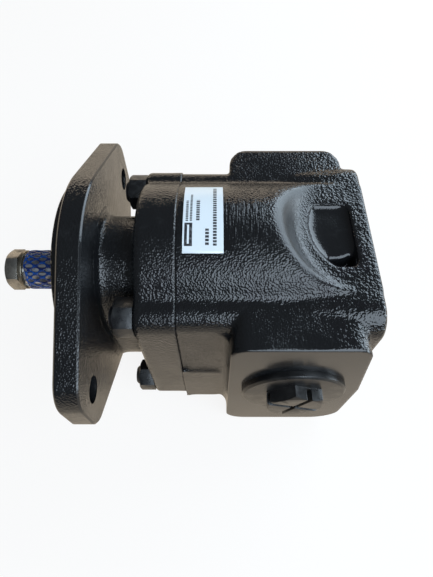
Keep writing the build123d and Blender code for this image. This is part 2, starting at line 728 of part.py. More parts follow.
def make_retainer():
    """The internal snap ring in front of the shaft seal, open at the top."""
    x = SEAL_FRONT_X - SEAL_SEAT_GAP - RETAINER_THICKNESS
    outer = LIP_SEAL_D / 2 + RETAINER_GROOVE
    ring = Circle(outer) - Circle(outer - RETAINER_WIDTH)
    half = outer * tan(radians(RETAINER_GAP_ANGLE / 2))
    gap = make_face(Polyline((0, 0), (half, outer), (-half, outer), close=True))
    ears = Sketch()
    for side in (1, -1):
        angle = pi / 2 + side * radians(RETAINER_GAP_ANGLE / 2 + RETAINER_EAR_ANGLE)
        ear = Circle(RETAINER_EAR_R) - Circle(RETAINER_EAR_HOLE_R)
        ears += Pos(*polar(outer - RETAINER_WIDTH, angle)) * ear
    hub = Circle(outer - RETAINER_EAR_TRIM)
    return extrude(across(x) * ((ring - gap) + (ears & hub)), RETAINER_THICKNESS)


def make_block_seal(x):
    return block_seal(x + SEAL_SEAT_GAP, BLOCK_SEAL_GROOVE - SEAL_SEAT_GAP)


def make_label():
    """The thin label, bent to the barrel."""
    r = BARREL_R
    ring = Circle(r + LABEL_THICKNESS) - Circle(r)
    width = LABEL_FAR_Y - LABEL_NEAR_Y
    window = Pos((LABEL_FAR_Y + LABEL_NEAR_Y) / 2, r) * Rectangle(width, r)
    return extrude(across(JOINT_X + LABEL_FRONT_GAP) * (ring & window), LABEL_LENGTH)


# --- port plugs ----------------------------------------------------------------------------------


def make_plug(face_y, port_d, flange_d, hexagon, hex_height):
    """A moulded port plug: shank, rimmed flange and a hexagon cross-cut by two slots."""
    shank_r = port_d / 2 - PLUG_CLEARANCE
    shank = Pos(0, 0, -PLUG_SHANK_LENGTH) * extrude(Circle(shank_r), PLUG_SHANK_LENGTH)
    shank -= Pos(0, 0, -PLUG_SHANK_LENGTH) * extrude(Circle(shank_r - PLUG_WALL), PLUG_SHANK_LENGTH)
    groove = Circle(shank_r) - Circle(shank_r - O_RING_SECTION + O_RING_PROUD)
    groove_width = O_RING_SECTION + 2 * O_RING_SIDE_GAP
    shank -= Pos(0, 0, -groove_width) * extrude(groove, groove_width)
    flange = extrude(Circle(flange_d / 2), PLUG_FLANGE_THICKNESS)
    top = edges_at(flange, Axis.Z, PLUG_FLANGE_THICKNESS)
    flange = chamfer(top, PLUG_RIM)
    head = hex_prism(hexagon, hex_height)
    for angle in (0, 90):
        slot = Rot(0, 0, angle) * Rectangle(2 * hexagon, PLUG_SLOT_WIDTH)
        head -= Pos(0, 0, PLUG_SLOT_FLOOR) * extrude(slot, hex_height)
    plug = shank + flange + Pos(0, 0, PLUG_FLANGE_THICKNESS) * Rot(0, 0, PLUG_TURN) * head
    return Pos(PORT_X, face_y, MID_Z) * Rot(90 if face_y < 0 else -90, 0, 0) * plug


def make_plug_o_ring(face_y, port_d):
    """The plug's O-ring, drawn with a bevelled square section."""
    side = 1 if face_y > 0 else -1
    inner_r = port_d / 2 - PLUG_CLEARANCE - O_RING_SECTION + O_RING_PROUD + O_RING_FIT_GAP
    outer_r = inner_r + O_RING_SECTION - 2 * O_RING_FIT_GAP
    width = O_RING_SECTION - 2 * O_RING_FIT_GAP
    near = O_RING_SIDE_GAP + O_RING_FIT_GAP
    y = face_y - side * near if side < 0 else face_y - near - width
    ring = post(y, width, outer_r, PORT_X, MID_Z)
    ring = chamfer(edges_at(ring, Axis.Y, y) + edges_at(ring, Axis.Y, y + width), O_RING_BEVEL)
    return ring - post(y, width, inner_r, PORT_X, MID_Z)


# --- the whole pump ------------------------------------------------------------------------------


def build_parts():
    front_seal_x = FRONT_BLOCK_X - SEAL_SEAT_GAP
    rear_seal_x = REAR_BLOCK_X + REAR_BLOCK_LENGTH - BLOCK_SEAL_GROOVE
    parts = {
        "mounting_cap": make_mounting_cap(),
        "pump_body": make_pump_body(),
        "drive_gear_shaft": make_drive_shaft(),
        "driven_gear": make_driven_gear(),
        "front_bearing_block": make_front_block(),
        "rear_bearing_block": make_rear_block(),
        "front_pressure_seal": make_block_seal(front_seal_x),
        "rear_pressure_seal": make_block_seal(rear_seal_x),
        "casing_seal": make_casing_seal(),
        "shaft_lip_seal": make_lip_seal(),
        "seal_retaining_ring": make_retainer(),
        "shaft_end_bolt": make_end_bolt(),
        "shaft_end_washer": make_end_washer(),
        "shaft_net": make_shaft_net(),
        "rating_label": make_label(),
    }
    for gear, z in AXES.items():
        parts[f"{gear}_front_bush"] = make_bush(FRONT_BLOCK_X, FRONT_BLOCK_LENGTH, z)
        parts[f"{gear}_rear_bush"] = make_bush(REAR_BLOCK_X, REAR_BLOCK_LENGTH, z)
    for number, (y, z) in enumerate(STUD_PLACES, start=1):
        parts[f"cap_stud_{number}"] = make_stud(y, z)
        parts[f"stud_nut_{number}"] = make_nut(y, z)
    for number, side in enumerate((1, -1), start=1):
        parts[f"dowel_pin_{number}"] = make_dowel(side)
    for name, face_y, port_d, flange_d, hexagon, hex_height in (
        ("inlet", -INLET_FACE_Y, INLET_PORT_D, INLET_PLUG_D, INLET_PLUG_HEX, INLET_PLUG_HEX_HEIGHT),
        ("outlet", OUTLET_FACE_Y, OUTLET_PORT_D, OUTLET_PLUG_D, OUTLET_PLUG_HEX, OUTLET_PLUG_HEX_HEIGHT),
    ):
        parts[f"{name}_port_plug"] = make_plug(face_y, port_d, flange_d, hexagon, hex_height)
        parts[f"{name}_plug_o_ring"] = make_plug_o_ring(face_y, port_d)
    return parts


def main():
    os.makedirs("parts", exist_ok=True)
    for name, shape in build_parts().items():
        export_step(shape, f"parts/{name}.step")


if __name__ == "__main__":
    main()
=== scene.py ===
import json
import math
import random

import bpy
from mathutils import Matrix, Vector


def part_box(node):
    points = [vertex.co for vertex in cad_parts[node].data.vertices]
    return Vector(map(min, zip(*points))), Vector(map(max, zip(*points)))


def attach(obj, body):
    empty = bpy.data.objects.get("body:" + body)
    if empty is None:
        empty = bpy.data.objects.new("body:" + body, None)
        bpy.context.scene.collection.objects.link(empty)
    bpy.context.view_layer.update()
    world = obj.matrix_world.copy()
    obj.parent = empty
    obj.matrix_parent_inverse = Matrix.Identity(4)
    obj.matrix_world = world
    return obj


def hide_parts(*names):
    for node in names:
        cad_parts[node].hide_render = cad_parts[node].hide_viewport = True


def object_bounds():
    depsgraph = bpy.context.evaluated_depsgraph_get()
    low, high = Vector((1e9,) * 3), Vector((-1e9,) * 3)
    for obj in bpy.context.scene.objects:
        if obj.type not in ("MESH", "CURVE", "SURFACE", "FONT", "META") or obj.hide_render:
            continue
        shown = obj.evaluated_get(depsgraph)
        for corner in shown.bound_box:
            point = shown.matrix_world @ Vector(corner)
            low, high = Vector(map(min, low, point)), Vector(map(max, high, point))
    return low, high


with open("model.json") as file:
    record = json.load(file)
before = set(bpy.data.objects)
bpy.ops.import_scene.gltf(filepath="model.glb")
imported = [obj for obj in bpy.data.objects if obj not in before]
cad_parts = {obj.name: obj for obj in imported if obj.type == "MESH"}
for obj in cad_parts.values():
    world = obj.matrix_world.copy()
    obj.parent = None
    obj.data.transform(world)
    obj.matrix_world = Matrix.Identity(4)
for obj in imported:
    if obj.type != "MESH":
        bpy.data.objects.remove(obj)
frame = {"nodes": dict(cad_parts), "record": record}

nodes = frame["nodes"]
cadBox = [list(corner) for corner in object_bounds()]
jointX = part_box("pump_body")[0].x  # where the cap meets the body
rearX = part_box("pump_body")[1].x
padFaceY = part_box("pump_body")[0].y  # inlet side
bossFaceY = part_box("pump_body")[1].y  # outlet side
studStandOut = 0.0125
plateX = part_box("cap_stud_1")[0].x + studStandOut  # front face of the cap plate
flangeFaceX = 0.0
flangeBackX = 0.012
rearTopZ = 0.035
labelLow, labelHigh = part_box("rating_label")
samePoint = 0.000002
print("frame loaded:", len(nodes), "nodes")


def pickOnly(*pieces):
    bpy.ops.object.select_all(action="DESELECT")
    for piece in pieces:
        piece.select_set(True)
    bpy.context.view_layer.objects.active = pieces[0]


def intoEdit(piece, kind="VERT"):
    pickOnly(piece)
    bpy.ops.object.mode_set(mode="EDIT")
    bpy.ops.mesh.select_mode(type=kind)
    bpy.ops.mesh.select_all(action="DESELECT")


def outOfEdit():
    bpy.ops.object.mode_set(mode="OBJECT")


def pickEdges(piece, test):
    # the test gets the middle of an edge and its run
    intoEdit(piece, "EDGE")
    outOfEdit()
    mesh = piece.data
    for edge in mesh.edges:
        ends = [mesh.vertices[i].co for i in edge.vertices]
        edge.select = test((ends[0] + ends[1]) / 2, ends[1] - ends[0])
    bpy.ops.object.mode_set(mode="EDIT")


def settle(piece):
    # the object goes to the origin and its place goes into the mesh
    pickOnly(piece)
    bpy.ops.object.transform_apply(location=True, rotation=True, scale=True)


def applyModifier(piece, kind, name, **settings):
    pickOnly(piece)
    modifier = piece.modifiers.new(name, kind)
    for setting, value in settings.items():
        setattr(modifier, setting, value)
    bpy.ops.object.modifier_apply(modifier=modifier.name)


def copyOfNode(nodeName, pieceName):
    piece = bpy.data.objects.new(pieceName, nodes[nodeName].data.copy())
    bpy.context.scene.collection.objects.link(piece)
    intoEdit(piece)
    bpy.ops.mesh.select_all(action="SELECT")
    bpy.ops.mesh.remove_doubles(threshold=samePoint)
    outOfEdit()
    return piece


def finishPiece(piece, body, slotName, material, *stoodFor):
    piece.data.materials.clear()
    piece.data.materials.append(material)
    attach(piece, body)
    if stoodFor:
        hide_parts(*stoodFor)
    print("made", piece.name, "with", len(piece.data.polygons), "faces")


def smoothAt(piece, degrees):
    pickOnly(piece)
    bpy.ops.object.shade_smooth_by_angle(angle=math.radians(degrees))


def roundEdges(piece, width, segments=2, above=28):
    applyModifier(
        piece, "BEVEL", "edge", width=width, segments=segments, limit_method="ANGLE",
        angle_limit=math.radians(above))


class Tap:
    # a value socket that can be added, taken away, multiplied and divided
    def __init__(self, maker, socket):
        self.maker = maker
        self.socket = socket

    def combine(self, operation, first, second=0.0):
        return self.maker.node("ShaderNodeMath", {"operation": operation}, {0: first, 1: second})

    def __add__(self, other):
        return self.combine("ADD", self, other)

    def __radd__(self, other):
        return self.combine("ADD", other, self)

    def __sub__(self, other):
        return self.combine("SUBTRACT", self, other)

    def __rsub__(self, other):
        return self.combine("SUBTRACT", other, self)

    def __mul__(self, other):
        return self.combine("MULTIPLY", self, other)

    def __rmul__(self, other):
        return self.combine("MULTIPLY", other, self)

    def __truediv__(self, other):
        return self.combine("DIVIDE", self, other)

    def __pow__(self, other):
        return self.combine("POWER", self, other)

    def __abs__(self):
        return self.combine("ABSOLUTE", self)

    def sine(self):
        return self.combine("SINE", self)

    def fraction(self):
        return self.combine("FRACT", self)


class NodeMaker:
    # makes nodes in one tree and links them
    def __init__(self, tree):
        self.tree = tree

    def node(self, kind, settings=None, sockets=None, output=0):
        made = self.tree.nodes.new(kind)
        for name, value in (settings or {}).items():
            setattr(made, name, value)
        for name, value in (sockets or {}).items():
            self.feed(made.inputs[name], value)
        return Tap(self, made.outputs[output])

    def feed(self, socket, value):
        if isinstance(value, Tap):
            self.tree.links.new(value.socket, socket)
        else:
            socket.default_value = value

    def rays(self):
        # camera rays, and those that gloss and glass send out
        kinds = self.node("ShaderNodeLightPath").socket.node.outputs
        names = ("Is Camera Ray", "Is Glossy Ray", "Is Transmission Ray")
        seen, glossed, passed = [Tap(self, kinds[name]) for name in names]
        return seen, glossed + passed


class Paint(NodeMaker):
    # one material and the nodes that make it
    socketNames = {
        "base": "Base Color", "rough": "Roughness", "metal": "Metallic", "normal": "Normal",
        "specular": "Specular IOR Level",
    }

    def __init__(self, name):
        self.material = bpy.data.materials.new(name)
        self.material.use_nodes = True
        super().__init__(self.material.node_tree)
        self.surface = self.tree.nodes["Principled BSDF"]

    def set(self, **values):
        for name, value in values.items():
            self.feed(self.surface.inputs[self.socketNames[name]], value)
        return self

    def place(self):
        return self.node("ShaderNodeTexCoord", output="Object")

    def axes(self):
        outputs = self.node("ShaderNodeSeparateXYZ", None, {0: self.place()}).socket.node.outputs
        return [Tap(self, outputs[i]) for i in range(3)]

    def stretched(self, scale):
        return self.node("ShaderNodeMapping", None, {"Vector": self.place(), "Scale": scale})

    def noise(self, scale, detail=2.0, rough=0.5, vector=None):
        sockets = {"Scale": scale, "Detail": detail, "Roughness": rough, "Vector": vector or self.place()}
        return self.node("ShaderNodeTexNoise", None, sockets)

    def cells(self, scale, smooth=0.6):
        sockets = {"Scale": scale, "Vector": self.place(), "Smoothness": smooth}
        return self.node("ShaderNodeTexVoronoi", {"feature": "SMOOTH_F1"}, sockets, output="Distance")

    def fade(self, value, low, high, atLow=0.0, atHigh=1.0):
        if low > high:
            low, high, atLow, atHigh = high, low, atHigh, atLow
        settings = {"interpolation_type": "SMOOTHSTEP", "clamp": True}
        sockets = {"Value": value, "From Min": low, "From Max": high, "To Min": atLow, "To Max": atHigh}
        return self.node("ShaderNodeMapRange", settings, sockets)

    def band(self, value, low, high, soft):
        # 1 between low and high, 0 outside
        return self.fade(value, low - soft, low) * self.fade(value, high + soft, high)

    def higher(self, first, second):
        return self.node("ShaderNodeMath", {"operation": "MAXIMUM"}, {0: first, 1: second})

    def blend(self, factor, first, second):
        settings = {"data_type": "RGBA", "clamp_factor": True}
        return self.node("ShaderNodeMix", settings, {0: factor, 6: first, 7: second}, output=2)

    def bump(self, height, distance, strength=1.0, under=None):
        sockets = {"Height": height, "Distance": distance, "Strength": strength}
        if under is not None:
            sockets["Normal"] = under
        return self.node("ShaderNodeBump", None, sockets)


def rgb(red, green, blue, lift=1.0):
    return (red * lift, green * lift, blue * lift, 1.0)


# camera and light
cameraView = {
    "place": (0.0753, -0.1396, 0.2191),
    "tiltDegrees": 30.0,
    "lens": 36.08,
    "sensor": 36.0,
    "nearest": 0.005,
}
tilt = math.radians(cameraView["tiltDegrees"])
bpy.ops.object.camera_add(location=cameraView["place"], rotation=(tilt, 0, 0))
camera = bpy.context.object
camera.name = "camera"
camera.data.sensor_fit = "HORIZONTAL"
camera.data.sensor_width = cameraView["sensor"]
camera.data.lens = cameraView["lens"]
camera.data.clip_start = cameraView["nearest"]
bpy.context.scene.camera = camera

lamps = {
    # name: place, where it aims, width, height, watts, colour
    "windowPanel": ((0.72, -0.80, 0.96), (0.08, 0.0, -0.02), 1.4, 1.1, 24.0, (0.74, 0.87, 1.0)),
    "rightPanel": ((0.89, 0.67, 0.45), (0.08, 0.0, 0.0), 1.07, 0.75, 13.0, (0.72, 0.87, 1.0)),
    "edgeStrip": ((1.19, -0.10, 0.10), (0.04, 0.0, 0.0), 1.12, 0.34, 9.0, (0.76, 0.89, 1.0)),
    "farWarm": ((-0.10, 1.10, 0.12), (0.08, 0.0, 0.02), 1.2, 0.26, 1.6, (1.0, 0.84, 0.66)),
}
for lampName, (place, aim, width, height, watts, colour) in lamps.items():
    turn = (Vector(aim) - Vector(place)).to_track_quat("-Z", "Y").to_euler()
    bpy.ops.object.light_add(type="AREA", location=place, rotation=turn)
    lamp = bpy.context.object
    lamp.name = lampName
    lamp.data.shape = "RECTANGLE"
    lamp.data.size = width
    lamp.data.size_y = height
    lamp.data.energy = watts
    lamp.data.color = colour

# white to the camera, dim to what it lights and to what mirrors it
roomLook = {"colour": (0.92, 0.95, 0.98), "lit": 0.085, "seen": 1.0, "inGloss": 0.02}
world = bpy.data.worlds.new("room")
bpy.context.scene.world = world
world.use_nodes = True
room = NodeMaker(world.node_tree)
direct, mirrored = room.rays()
backdrop = world.node_tree.nodes["Background"]
room.feed(backdrop.inputs["Color"], rgb(*roomLook["colour"]))
lift = direct * (roomLook["seen"] - roomLook["lit"]) + mirrored * roomLook["inGloss"]
room.feed(backdrop.inputs["Strength"], roomLook["lit"] + lift)
bpy.context.scene.view_settings.view_transform = "Standard"

floorLook = {
    "size": 6.0,
    "colour": (0.90, 0.885, 0.86),
    "inGloss": (0.76, 0.64, 0.49),  # what the paint mirrors
    "whiteShare": 0.88,
    "middleX": 0.1,
    "gap": 0.0002,
}
floorPlace = (floorLook["middleX"], 0, cadBox[0][2] - floorLook["gap"])
bpy.ops.mesh.primitive_plane_add(size=floorLook["size"], location=floorPlace)
floorSheet = bpy.context.object
floorSheet.name = "floor_sheet"
settle(floorSheet)
floorPaint = Paint("floor_pale")
floorPaint.set(base=rgb(*floorLook["colour"]), rough=0.9, specular=0.0)
direct, mirrored = floorPaint.rays()
glowColour = floorPaint.blend(direct, rgb(*floorLook["inGloss"]), rgb(1, 1, 1))
glow = floorPaint.node("ShaderNodeEmission", None, {"Color": glowColour, "Strength": 1.0})
glowShare = (direct + mirrored) * floorLook["whiteShare"]
mixed = floorPaint.node("ShaderNodeMixShader", None, {0: glowShare, 2: glow})
floorPaint.tree.links.new(floorPaint.surface.outputs[0], mixed.socket.node.inputs[1])
floorPaint.tree.links.new(mixed.socket, floorPaint.tree.nodes["Material Output"].inputs["Surface"])
floorSheet.data.materials.append(floorPaint.material)
print("camera, lamps and floor set")

# black enamel of the castings
castLook = {
    "colour": (0.0085, 0.0090, 0.0100),
    "dust": (0.030, 0.031, 0.033),
    "dustScale": 120.0,
    "dustShare": 0.35,
    "grainSize": 0.00095,
    "grainDepth": 0.00030,
    "leastGrain": 0.55,  # in the smoothest patches
    "patchScale": 38.0,
    "lumpSize": 0.0032,
    "lumpDepth": 0.00022,
    "coarseSize": 0.0019,  # round the rear top
    "coarseDepth": 0.00040,
    "peelScale": 700.0,
    "peelDepth": 0.000012,
    "furrowSize": 0.0011,  # filed lines between label and scoop
    "furrowStretch": (1.0, 0.07, 0.07),
    "furrowDepth": 0.00065,
    "roughness": 0.11,
    "patchDull": 0.07,
    "milledDull": 0.03,
    "scoopDull": 0.20,
    "milledReach": (0.0016, 0.0005),
    "scoopCentre": rearX + 0.0023,
    "scoopWall": (0.0458, 0.0401, 1.428),  # radius and height where the slope starts, and its rise
    "scoopReach": (0.0045, 0.0010),
    "pocketX": (0.122, 0.1485),
    "pocketY": (-0.0205, 0.0205),
    "pocketZ": (0.013, 0.0338),
    "calmed": {"scoop": 0.88, "filed": 0.4, "pocket": 0.8, "edge": 0.85},  # share of the grain taken off
    "bevel": (0.0009, 0.00008, 0.00006),  # how far the flange bevel is from the back, and its fade
    "pips": [(0.107, -0.040, 0.032), (0.110, 0.018, 0.0466)],
    "pipSize": 0.0013,
    "pipDepth": 0.0006,
}


def castPaint(name, milledPlanes, bodyDetail):
    # milledPlanes lists (axis, place) of the planes that were milled before painting
    paint = Paint(name)
    x, y, z = paint.axes()
    calmed = castLook["calmed"]
    milled = None
    for axis, plane in milledPlanes:
        near = paint.fade(abs((x, y, z)[axis] - plane), *castLook["milledReach"])
        milled = near if milled is None else paint.higher(milled, near)
    patches = paint.noise(castLook["patchScale"], 2.0, 0.5)
    strength = paint.fade(patches, 0.32, 0.62, castLook["leastGrain"], 1.0) * (1.0 - milled)
    height = paint.cells(1 / castLook["grainSize"]) * castLook["grainDepth"]
    lumps = paint.noise(1 / castLook["lumpSize"], 2.0, 0.5) * castLook["lumpDepth"]
    if bodyDetail:
        fromCentre = ((x - castLook["scoopCentre"]) ** 2.0 + y * y) ** 0.5
        aboveTop = paint.fade(z, rearTopZ + 0.0005, rearTopZ + 0.0060)
        wallR, wallZ, wallRise = castLook["scoopWall"]
        wallGap = fromCentre - (z - wallZ) / wallRise
        outer, inner = castLook["scoopReach"]
        inScoop = paint.fade(wallGap, wallR + outer, wallR + inner) * aboveTop
        strength = strength * (1.0 - calmed["scoop"] * inScoop)
        filedX = paint.band(x, labelHigh.x + 0.003, labelHigh.x + 0.018, 0.007)
        filed = filedX * paint.band(y, -0.009, 0.008, 0.009) * aboveTop * (1.0 - inScoop)
        along = paint.stretched(castLook["furrowStretch"])
        furrows = paint.noise(1 / castLook["furrowSize"], 2.0, 0.6, along)
        inPocket = paint.band(x, *castLook["pocketX"], 0.0005) * paint.band(y, *castLook["pocketY"], 0.0005)
        inPocket = inPocket * paint.band(z, *castLook["pocketZ"], 0.0012)
        strength = strength * (1.0 - calmed["filed"] * filed) * (1.0 - calmed["pocket"] * inPocket)
        atRear = paint.fade(x, 0.128, 0.136) * paint.fade(z, 0.015, 0.028)
        coarseDepth = castLook["coarseDepth"] * atRear * (1.0 - inScoop) * (1.0 - inPocket)
        height = height + paint.cells(1 / castLook["coarseSize"]) * coarseDepth
        for pipX, pipY, pipZ in castLook["pips"]:
            away = ((x - pipX) ** 2.0 + (y - pipY) ** 2.0 + (z - pipZ) ** 2.0) ** 0.5
            height = height + paint.fade(away, castLook["pipSize"], 0.0) * castLook["pipDepth"]
    else:
        low, high, fade = castLook["bevel"]
        edge = paint.band(x, flangeBackX - low, flangeBackX - high, fade)
        strength = strength * (1.0 - calmed["edge"] * edge)
    under = paint.bump((height + lumps) * strength, 1.0)
    if bodyDetail:
        under = paint.bump(furrows * filed, castLook["furrowDepth"], 1.0, under)
    peel = paint.noise(castLook["peelScale"], 1.0, 0.5)
    last = paint.bump(peel, castLook["peelDepth"], 1.0, under)
    dusty = paint.noise(castLook["dustScale"], 4.0, 0.65)
    dustMask = paint.fade(dusty, 0.55, 0.80) * castLook["dustShare"]
    colour = paint.blend(dustMask, rgb(*castLook["colour"]), rgb(*castLook["dust"]))
    dull = castLook["roughness"] + castLook["patchDull"] * paint.fade(patches, 0.3, 0.7)
    dull = dull + castLook["milledDull"] * milled
    if bodyDetail:
        dull = dull + castLook["scoopDull"] * inScoop
    return paint.set(base=colour, rough=dull, normal=last).material


castingShape = {
    "depth": 8,
    "bodyScale": 0.60,
    "capScale": 0.66,
    "rounds": 16,
    "scoopRounds": 220,
    "pocketRounds": 60,
    "rootRounds": 70,
    "keptShare": 0.62,  # of the body's triangles
    "flangeCut": 0.0122,
    "rootCut": 0.01208,
    "jointReach": (0.0015, 0.006),
    "faceReach": (0.0008, 0.004),
    "plateReach": (0.0, 0.003),
    "padLeast": 0.08,
    "bossLeast": 0.2,
    "plateLeast": 0.4,
    "flatAngle": 0.6,
    "flangeSmooth": 20,
    "gearGap": 0.0234,  # from the shaft to the middle of the neck
}


def soften(piece, rounds, share):
    # share gives how much of the smoothing a point takes, 0 to 1
    group = piece.vertex_groups.new(name="soft")
    levels = {}
    for vertex in piece.data.vertices:
        levels.setdefault(round(share(vertex.co), 1), []).append(vertex.index)
    for level, places in levels.items():
        group.add(places, level, "REPLACE")
    applyModifier(piece, "SMOOTH", "soften", factor=0.5, iterations=rounds, vertex_group="soft")
    piece.vertex_groups.clear()


def skinOver(nodeName, pieceName, scale, share):
    piece = copyOfNode(nodeName, pieceName)
    applyModifier(
        piece, "REMESH", "skin", mode="SHARP", octree_depth=castingShape["depth"], scale=scale, sharpness=1.0,
        use_remove_disconnected=False)
    soften(piece, castingShape["rounds"], share)
    pickOnly(piece)
    bpy.ops.object.shade_smooth()
    return piece


def rampBetween(value, low, high):
    share = max(0.0, min(1.0, (value - low) / (high - low)))
    return share * share * (3 - 2 * share)


def bodySoftness(point):
    fromJoint = rampBetween(abs(point.x - jointX), *castingShape["jointReach"])
    fromPad = rampBetween(abs(point.y - padFaceY), *castingShape["faceReach"])
    fromBoss = rampBetween(abs(point.y - bossFaceY), *castingShape["faceReach"])
    return fromJoint * max(castingShape["padLeast"], fromPad) * max(castingShape["bossLeast"], fromBoss)


def scoopSoftness(point):
    # widest along the rim, where the barrel turns down into the scoop
    wallR, wallZ, wallRise = castLook["scoopWall"]
    fromCentre = math.hypot(point.x - castLook["scoopCentre"], point.y)
    fromRim = fromCentre - wallR - (point.z - wallZ) / wallRise
    share = rampBetween(fromRim, -0.006, -0.001) * rampBetween(-fromRim, -0.017, -0.004)
    return share * rampBetween(point.z, 0.0365, 0.041) * rampBetween(fromCentre, 0.038, 0.043)


def pocketSoftness(point):
    (lowX, highX), (lowY, highY) = castLook["pocketX"], castLook["pocketY"]
    inside = lowX < point.x < highX and lowY < point.y < highY and 0.020 < point.z
    return rampBetween(-point.z, -0.0345, -0.0320) if inside else 0.0


def rootSoftness(point):
    # where the neck leaves the flange
    gap = castingShape["gearGap"]
    fromAxis = math.hypot(point.y, max(0.0, abs(point.z + gap) - gap))
    lengthwise = rampBetween(-point.x, -0.026, -0.020) * rampBetween(point.x, 0.0105, 0.0120)
    return lengthwise * rampBetween(-fromAxis, -0.052, -0.046)


def capSoftness(point):
    fromJoint = rampBetween(abs(point.x - jointX), *castingShape["jointReach"])
    fromPlate = rampBetween(abs(point.x - plateX), *castingShape["plateReach"])
    return fromJoint * max(castingShape["plateLeast"], fromPlate)


bodyCasting = skinOver("pump_body", "body_casting", castingShape["bodyScale"], bodySoftness)
soften(bodyCasting, castingShape["scoopRounds"], scoopSoftness)
soften(bodyCasting, castingShape["pocketRounds"], pocketSoftness)
applyModifier(bodyCasting, "DECIMATE", "thin", ratio=castingShape["keptShare"])
bodyPaint = castPaint("body_enamel", [(1, padFaceY), (1, bossFaceY)], True)
finishPiece(bodyCasting, "casing", "painted_casting", bodyPaint, "pump_body")


def keepOneSide(piece, cutX, keepFront):
    intoEdit(piece)
    bpy.ops.mesh.select_all(action="SELECT")
    bpy.ops.mesh.bisect(
        plane_co=(cutX, 0, 0), plane_no=(1, 0, 0), threshold=samePoint, use_fill=True,
        clear_outer=keepFront, clear_inner=not keepFront)
    outOfEdit()


# the flange keeps its crisp edges, and the neck and plate behind it are softened
flangePlate = copyOfNode("mounting_cap", "flange_plate")
keepOneSide(flangePlate, castingShape["flangeCut"], True)
intoEdit(flangePlate)
bpy.ops.mesh.select_all(action="SELECT")
bpy.ops.mesh.dissolve_limited(angle_limit=math.radians(castingShape["flatAngle"]))
outOfEdit()
smoothAt(flangePlate, castingShape["flangeSmooth"])
applyModifier(flangePlate, "WEIGHTED_NORMAL", "evenShade", mode="FACE_AREA", keep_sharp=True)
capPaint = castPaint("cap_enamel", [(0, flangeFaceX)], False)
finishPiece(flangePlate, "casing", "painted_casting", capPaint, "mounting_cap")
capCasting = skinOver("mounting_cap", "cap_casting", castingShape["capScale"], capSoftness)
soften(capCasting, castingShape["rootRounds"], rootSoftness)
keepOneSide(capCasting, castingShape["rootCut"], False)
finishPiece(capCasting, "casing", "painted_casting", capPaint, "mounting_cap")
print("castings done")

# studs and nuts
fastenerLook = {
    "colour": (0.0095, 0.0100, 0.0112),
    "smear": (0.026, 0.0255, 0.025),
    "roughness": 0.26,
    "smearDull": 0.22,
    "studColour": (0.014, 0.014, 0.016),
    "studRoughness": 0.3,
    "edgeWidth": 0.00035,
    "threadPitch": 0.00175,
    "threadDepth": 0.00025,
}


def nutPaint():
    paint = Paint("nut_enamel")
    smears = paint.noise(260.0, 3.0, 0.6)
    dull = fastenerLook["roughness"] + fastenerLook["smearDull"] * paint.fade(smears, 0.35, 0.7)
    colours = [rgb(*fastenerLook[kind]) for kind in ("colour", "smear")]
    colour = paint.blend(paint.fade(smears, 0.5, 0.8), *colours)
    fine = paint.bump(paint.noise(700.0, 2.0), 0.00004)
    return paint.set(base=colour, rough=dull, normal=fine).material


def studPaint():
    paint = Paint("stud_enamel")
    turns = (paint.axes()[0] * (2 * math.pi / fastenerLook["threadPitch"])).sine()
    smears = paint.noise(300.0, 2.0)
    colour = fastenerLook["studColour"]
    paint.set(base=paint.blend(paint.fade(smears, 0.4, 0.7), rgb(*colour), rgb(*colour, 1.8)))
    paint.set(rough=fastenerLook["studRoughness"] + 0.15 * smears)
    return paint.set(normal=paint.bump(turns, fastenerLook["threadDepth"])).material


nutMaterial = nutPaint()
studMaterial = studPaint()
for number in range(1, 5):
    nut = copyOfNode(f"stud_nut_{number}", f"hex_nut_{number}")
    roundEdges(nut, fastenerLook["edgeWidth"])
    smoothAt(nut, 40)
    finishPiece(nut, "casing", "painted_fastener", nutMaterial, f"stud_nut_{number}")
print("nuts and studs done")

# shaft end
zincLook = {
    "bolt": {"colour": (0.40, 0.375, 0.33), "dark": (0.15, 0.14, 0.125), "metal": 0.9},
    "washer": {"colour": (0.30, 0.265, 0.205), "dark": (0.13, 0.115, 0.09), "metal": 0.85},
    "boltEdge": 0.0006,
    "washerEdge": 0.0003,
}


def zincPaint(part):
    paint = Paint(f"{part}_zinc")
    look = zincLook[part]
    stains = paint.noise(140.0, 4.0, 0.6)
    scuffs = paint.noise(900.0, 2.0, 0.6, paint.stretched((0.25, 1.0, 1.0)))
    shade = paint.blend(paint.fade(stains, 0.38, 0.68), rgb(*look["colour"]), rgb(*look["dark"]))
    paint.set(base=shade, metal=look["metal"], rough=0.24 + 0.22 * paint.fade(stains, 0.3, 0.75))
    return paint.set(normal=paint.bump(scuffs, 0.00003)).material


zincMaterial = zincPaint("bolt")
washerMaterial = zincPaint("washer")
endBolt = copyOfNode("shaft_end_bolt", "end_bolt")
roundEdges(endBolt, zincLook["boltEdge"], 3, 25)
smoothAt(endBolt, 35)
finishPiece(endBolt, "drive_shaft", "zinc_plate", zincMaterial, "shaft_end_bolt")
endWasher = copyOfNode("shaft_end_washer", "end_washer")
roundEdges(endWasher, zincLook["washerEdge"], 2, 25)
smoothAt(endWasher, 40)
finishPiece(endWasher, "drive_shaft", "zinc_plate", washerMaterial, "shaft_end_washer")

netShape = {
    "around": 16,
    "rows": 4,
    "radius": 0.01135,
    "strand": 0.00085,
    "fray": 0.0011,
    "seed": 5,
    "slantRun": (0.001, 0.0005),  # least run along and across of an edge that stays as a strand
}


